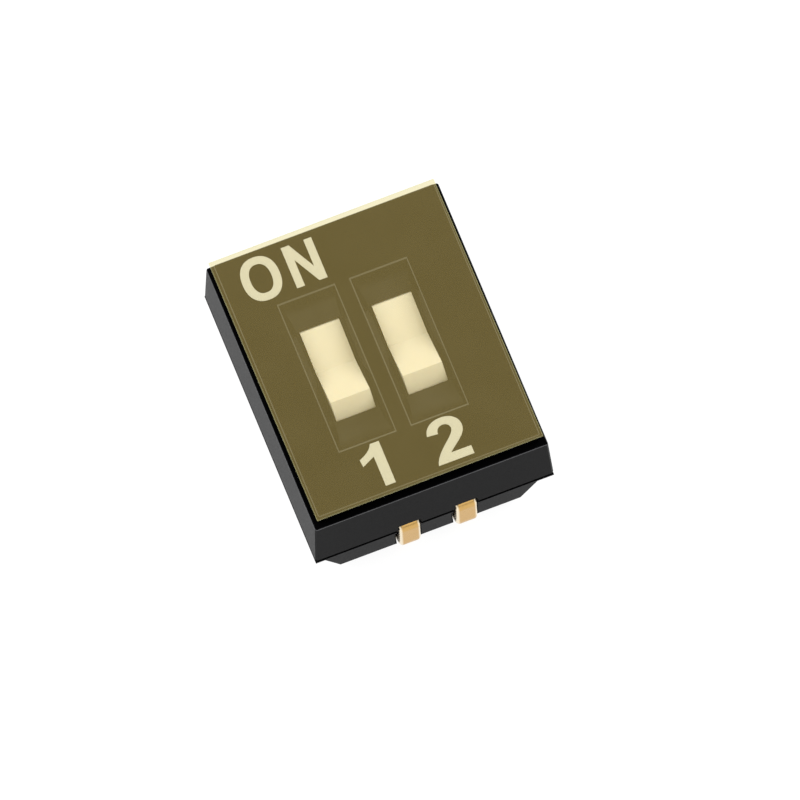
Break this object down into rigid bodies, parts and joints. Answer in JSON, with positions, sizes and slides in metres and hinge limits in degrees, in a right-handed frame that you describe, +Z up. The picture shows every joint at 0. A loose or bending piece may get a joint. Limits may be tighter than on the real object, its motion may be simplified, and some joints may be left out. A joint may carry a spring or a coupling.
{
  "type": "dip switch",
  "caption": "Surface-mount rocker DIP switch: black housing with curled gold leads, ivory rockers in dished windows and an amber wash-seal film over the top.",
  "frame": {"origin": "on the plane of the solder soles, under the middle of the housing", "axes": "+X along the row from way 1 to way 2, +Y from the numbered side to the ON side, +Z up, away from the board"},
  "size_m": [0.0042, 0.0052, 0.0026],
  "materials": {
    "cover_plastic": "fine moulded satin, black glass-filled nylon",
    "base_plastic": "fine moulded satin, dark grey glass-filled nylon",
    "seal_film": "clear amber polyimide film with a thin adhesive",
    "rocker_plastic": "smooth moulded ivory nylon",
    "gold_plating": "satin gold plating over formed copper alloy",
    "spring_steel": "drawn stainless wire",
    "marking_ink": "thin white pad-printed ink, only on the visual model"
  },
  "bodies": {
    "switch_body": {"cover": "cover_plastic", "base": "base_plastic", "sealing_tape": "seal_film", "front_terminal_1": "gold_plating", "front_terminal_2": "gold_plating", "back_terminal_1": "gold_plating", "back_terminal_2": "gold_plating"},
    "rocker_body_1": {"rocker_1": "rocker_plastic", "contact_spring_1": "spring_steel", "contact_ball_1": "gold_plating"},
    "rocker_body_2": {"rocker_2": "rocker_plastic", "contact_spring_2": "spring_steel", "contact_ball_2": "gold_plating"}
  },
  "joints": [
    {"name": "rocker_1_tilt", "type": "hinge", "parent": "switch_body", "child": "rocker_body_1", "pos_m": [-0.00069, 0, 0.00155], "axis": [1, 0, 0], "range_deg": [0, 15]},
    {"name": "rocker_2_tilt", "type": "hinge", "parent": "switch_body", "child": "rocker_body_2", "pos_m": [0.00058, 0, 0.00155], "axis": [1, 0, 0], "range_deg": [0, 15]}
  ]
}
